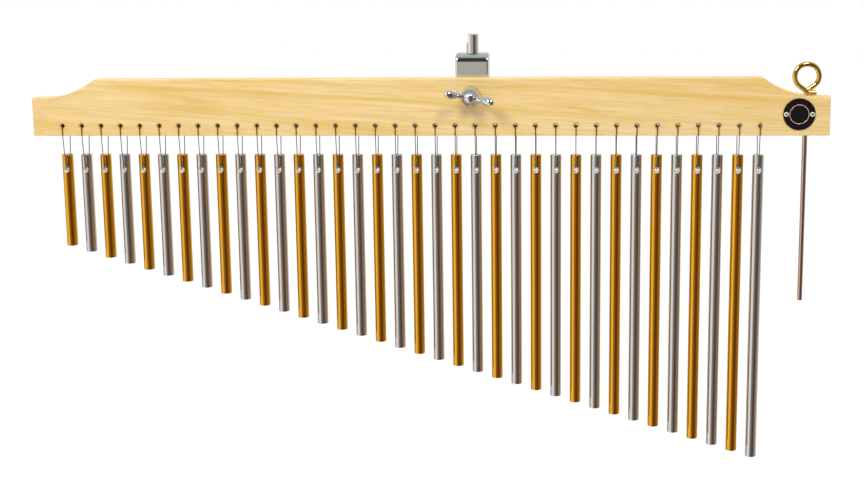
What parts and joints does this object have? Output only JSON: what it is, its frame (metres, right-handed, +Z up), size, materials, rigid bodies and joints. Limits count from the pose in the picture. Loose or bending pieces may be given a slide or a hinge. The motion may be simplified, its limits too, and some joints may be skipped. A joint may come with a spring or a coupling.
{
  "type": "bar chimes",
  "caption": "Wooden bar with a row of hanging metal chimes that grow longer to the right, a stand clamp with a wing nut and a wire beater.",
  "frame": {"origin": "on the stand post's axis, where the post leaves the clamp block", "axes": "+X along the bar towards the long chimes, +Y to the back, +Z up along the post"},
  "size_m": [0.7176, 0.0608, 0.3881],
  "materials": {
    "maple": "satin clear lacquer on pale wood",
    "chrome": "bright chrome plate",
    "black_plate": "satin black paint",
    "rivet_metal": "bright rolled eyelet",
    "brass_wire": "polished wire",
    "gold_bar": "gold anodised, polished",
    "silver_bar": "clear anodised, polished",
    "nylon_cord": "clear nylon cord"
  },
  "bodies": {
    "clamp": {"clamp_block": "chrome", "stand_post": "chrome", "clamp_bolt": "chrome"},
    "bar": {"wood_bar": "maple", "badge_disc": "black_plate", "badge_rivets": "rivet_metal"},
    "washer": {"bolt_washer": "chrome"},
    "wing_nut": {"wing_nut": "chrome"},
    "beater": {"beater": "brass_wire"},
    "chime_01": {"chime_01": "gold_bar"},
    "chime_02": {"chime_02": "silver_bar"},
    "chime_03": {"chime_03": "gold_bar"},
    "chime_04": {"chime_04": "silver_bar"},
    "chime_05": {"chime_05": "gold_bar"},
    "chime_06": {"chime_06": "silver_bar"},
    "chime_07": {"chime_07": "gold_bar"},
    "chime_08": {"chime_08": "silver_bar"},
    "chime_09": {"chime_09": "gold_bar"},
    "chime_10": {"chime_10": "silver_bar"},
    "chime_11": {"chime_11": "gold_bar"},
    "chime_12": {"chime_12": "silver_bar"},
    "chime_13": {"chime_13": "gold_bar"},
    "chime_14": {"chime_14": "silver_bar"},
    "chime_15": {"chime_15": "gold_bar"},
    "chime_16": {"chime_16": "silver_bar"},
    "chime_17": {"chime_17": "gold_bar"},
    "chime_18": {"chime_18": "silver_bar"},
    "chime_19": {"chime_19": "gold_bar"},
    "chime_20": {"chime_20": "silver_bar"},
    "chime_21": {"chime_21": "gold_bar"},
    "chime_22": {"chime_22": "silver_bar"},
    "chime_23": {"chime_23": "gold_bar"},
    "chime_24": {"chime_24": "silver_bar"},
    "chime_25": {"chime_25": "gold_bar"},
    "chime_26": {"chime_26": "silver_bar"},
    "chime_27": {"chime_27": "gold_bar"},
    "chime_28": {"chime_28": "silver_bar"},
    "chime_29": {"chime_29": "gold_bar"},
    "chime_30": {"chime_30": "silver_bar"},
    "chime_31": {"chime_31": "gold_bar"},
    "chime_32": {"chime_32": "silver_bar"},
    "chime_33": {"chime_33": "gold_bar"},
    "chime_34": {"chime_34": "silver_bar"},
    "chime_35": {"chime_35": "gold_bar"},
    "chime_36": {"chime_36": "silver_bar"}
  },
  "joints": [
    {"name": "bar_tilt", "type": "hinge", "parent": "clamp", "child": "bar", "pos_m": [0, -0.019, -0.0366], "axis": [0, 1, 0], "range_deg": [-10, 10]},
    {"name": "nut_travel", "type": "slide", "parent": "clamp", "child": "washer", "axis": [0, -1, 0], "range_m": [0, 0.00375]},
    {"name": "wing_nut_spin", "type": "hinge", "parent": "washer", "child": "wing_nut", "pos_m": [0, -0.028, -0.0366], "axis": [0, -1, 0], "range_deg": [0, 1080.01]},
    {"name": "beater_lift", "type": "slide", "parent": "bar", "child": "beater", "axis": [0, 0, 1], "range_m": [0, 0.19]},
    {"name": "chime_01_swing", "type": "hinge", "parent": "bar", "child": "chime_01", "pos_m": [-0.37421, -0.019, -0.0641], "axis": [0, 1, 0], "range_deg": [-3.91, 3.91]},
    {"name": "chime_02_swing", "type": "hinge", "parent": "bar", "child": "chime_02", "pos_m": [-0.35621, -0.019, -0.0641], "axis": [0, 1, 0], "range_deg": [-3.72, 3.72]},
    {"name": "chime_03_swing", "type": "hinge", "parent": "bar", "child": "chime_03", "pos_m": [-0.33821, -0.019, -0.0641], "axis": [0, 1, 0], "range_deg": [-3.55, 3.55]},
    {"name": "chime_04_swing", "type": "hinge", "parent": "bar", "child": "chime_04", "pos_m": [-0.32021, -0.019, -0.0641], "axis": [0, 1, 0], "range_deg": [-3.4, 3.4]},
    {"name": "chime_05_swing", "type": "hinge", "parent": "bar", "child": "chime_05", "pos_m": [-0.30221, -0.019, -0.0641], "axis": [0, 1, 0], "range_deg": [-3.26, 3.26]},
    {"name": "chime_06_swing", "type": "hinge", "parent": "bar", "child": "chime_06", "pos_m": [-0.28421, -0.019, -0.0641], "axis": [0, 1, 0], "range_deg": [-3.12, 3.12]},
    {"name": "chime_07_swing", "type": "hinge", "parent": "bar", "child": "chime_07", "pos_m": [-0.26621, -0.019, -0.0641], "axis": [0, 1, 0], "range_deg": [-3, 3]},
    {"name": "chime_08_swing", "type": "hinge", "parent": "bar", "child": "chime_08", "pos_m": [-0.24821, -0.019, -0.0641], "axis": [0, 1, 0], "range_deg": [-2.89, 2.89]},
    {"name": "chime_09_swing", "type": "hinge", "parent": "bar", "child": "chime_09", "pos_m": [-0.23021, -0.019, -0.0641], "axis": [0, 1, 0], "range_deg": [-2.79, 2.79]},
    {"name": "chime_10_swing", "type": "hinge", "parent": "bar", "child": "chime_10", "pos_m": [-0.21221, -0.019, -0.0641], "axis": [0, 1, 0], "range_deg": [-2.69, 2.69]},
    {"name": "chime_11_swing", "type": "hinge", "parent": "bar", "child": "chime_11", "pos_m": [-0.19421, -0.019, -0.0641], "axis": [0, 1, 0], "range_deg": [-2.6, 2.6]},
    {"name": "chime_12_swing", "type": "hinge", "parent": "bar", "child": "chime_12", "pos_m": [-0.17621, -0.019, -0.0641], "axis": [0, 1, 0], "range_deg": [-2.52, 2.52]},
    {"name": "chime_13_swing", "type": "hinge", "parent": "bar", "child": "chime_13", "pos_m": [-0.15821, -0.019, -0.0641], "axis": [0, 1, 0], "range_deg": [-2.44, 2.44]},
    {"name": "chime_14_swing", "type": "hinge", "parent": "bar", "child": "chime_14", "pos_m": [-0.14021, -0.019, -0.0641], "axis": [0, 1, 0], "range_deg": [-2.37, 2.37]},
    {"name": "chime_15_swing", "type": "hinge", "parent": "bar", "child": "chime_15", "pos_m": [-0.12221, -0.019, -0.0641], "axis": [0, 1, 0], "range_deg": [-2.3, 2.3]},
    {"name": "chime_16_swing", "type": "hinge", "parent": "bar", "child": "chime_16", "pos_m": [-0.10421, -0.019, -0.0641], "axis": [0, 1, 0], "range_deg": [-2.23, 2.23]},
    {"name": "chime_17_swing", "type": "hinge", "parent": "bar", "child": "chime_17", "pos_m": [-0.08621, -0.019, -0.0641], "axis": [0, 1, 0], "range_deg": [-2.17, 2.17]},
    {"name": "chime_18_swing", "type": "hinge", "parent": "bar", "child": "chime_18", "pos_m": [-0.06821, -0.019, -0.0641], "axis": [0, 1, 0], "range_deg": [-2.11, 2.11]},
    {"name": "chime_19_swing", "type": "hinge", "parent": "bar", "child": "chime_19", "pos_m": [-0.05021, -0.019, -0.0641], "axis": [0, 1, 0], "range_deg": [-2.05, 2.05]},
    {"name": "chime_20_swing", "type": "hinge", "parent": "bar", "child": "chime_20", "pos_m": [-0.03221, -0.019, -0.0641], "axis": [0, 1, 0], "range_deg": [-2, 2]},
    {"name": "chime_21_swing", "type": "hinge", "parent": "bar", "child": "chime_21", "pos_m": [-0.01421, -0.019, -0.0641], "axis": [0, 1, 0], "range_deg": [-1.95, 1.95]},
    {"name": "chime_22_swing", "type": "hinge", "parent": "bar", "child": "chime_22", "pos_m": [0.00379, -0.019, -0.0641], "axis": [0, 1, 0], "range_deg": [-1.9, 1.9]},
    {"name": "chime_23_swing", "type": "hinge", "parent": "bar", "child": "chime_23", "pos_m": [0.02179, -0.019, -0.0641], "axis": [0, 1, 0], "range_deg": [-1.86, 1.86]},
    {"name": "chime_24_swing", "type": "hinge", "parent": "bar", "child": "chime_24", "pos_m": [0.03979, -0.019, -0.0641], "axis": [0, 1, 0], "range_deg": [-1.81, 1.81]},
    {"name": "chime_25_swing", "type": "hinge", "parent": "bar", "child": "chime_25", "pos_m": [0.05779, -0.019, -0.0641], "axis": [0, 1, 0], "range_deg": [-1.77, 1.77]},
    {"name": "chime_26_swing", "type": "hinge", "parent": "bar", "child": "chime_26", "pos_m": [0.07579, -0.019, -0.0641], "axis": [0, 1, 0], "range_deg": [-1.73, 1.73]},
    {"name": "chime_27_swing", "type": "hinge", "parent": "bar", "child": "chime_27", "pos_m": [0.09379, -0.019, -0.0641], "axis": [0, 1, 0], "range_deg": [-1.7, 1.7]},
    {"name": "chime_28_swing", "type": "hinge", "parent": "bar", "child": "chime_28", "pos_m": [0.11179, -0.019, -0.0641], "axis": [0, 1, 0], "range_deg": [-1.66, 1.66]},
    {"name": "chime_29_swing", "type": "hinge", "parent": "bar", "child": "chime_29", "pos_m": [0.12979, -0.019, -0.0641], "axis": [0, 1, 0], "range_deg": [-1.63, 1.63]},
    {"name": "chime_30_swing", "type": "hinge", "parent": "bar", "child": "chime_30", "pos_m": [0.14779, -0.019, -0.0641], "axis": [0, 1, 0], "range_deg": [-1.59, 1.59]},
    {"name": "chime_31_swing", "type": "hinge", "parent": "bar", "child": "chime_31", "pos_m": [0.16579, -0.019, -0.0641], "axis": [0, 1, 0], "range_deg": [-1.56, 1.56]},
    {"name": "chime_32_swing", "type": "hinge", "parent": "bar", "child": "chime_32", "pos_m": [0.18379, -0.019, -0.0641], "axis": [0, 1, 0], "range_deg": [-1.53, 1.53]},
    {"name": "chime_33_swing", "type": "hinge", "parent": "bar", "child": "chime_33", "pos_m": [0.20179, -0.019, -0.0641], "axis": [0, 1, 0], "range_deg": [-1.5, 1.5]},
    {"name": "chime_34_swing", "type": "hinge", "parent": "bar", "child": "chime_34", "pos_m": [0.21979, -0.019, -0.0641], "axis": [0, 1, 0], "range_deg": [-1.47, 1.47]},
    {"name": "chime_35_swing", "type": "hinge", "parent": "bar", "child": "chime_35", "pos_m": [0.23779, -0.019, -0.0641], "axis": [0, 1, 0], "range_deg": [-1.44, 1.44]},
    {"name": "chime_36_swing", "type": "hinge", "parent": "bar", "child": "chime_36", "pos_m": [0.25579, -0.019, -0.0641], "axis": [0, 1, 0], "range_deg": [-1.42, 1.42]}
  ],
  "couplings": [
    {"joint": "wing_nut_spin", "follows": "nut_travel", "rad_per_m": 5026.5}
  ]
}
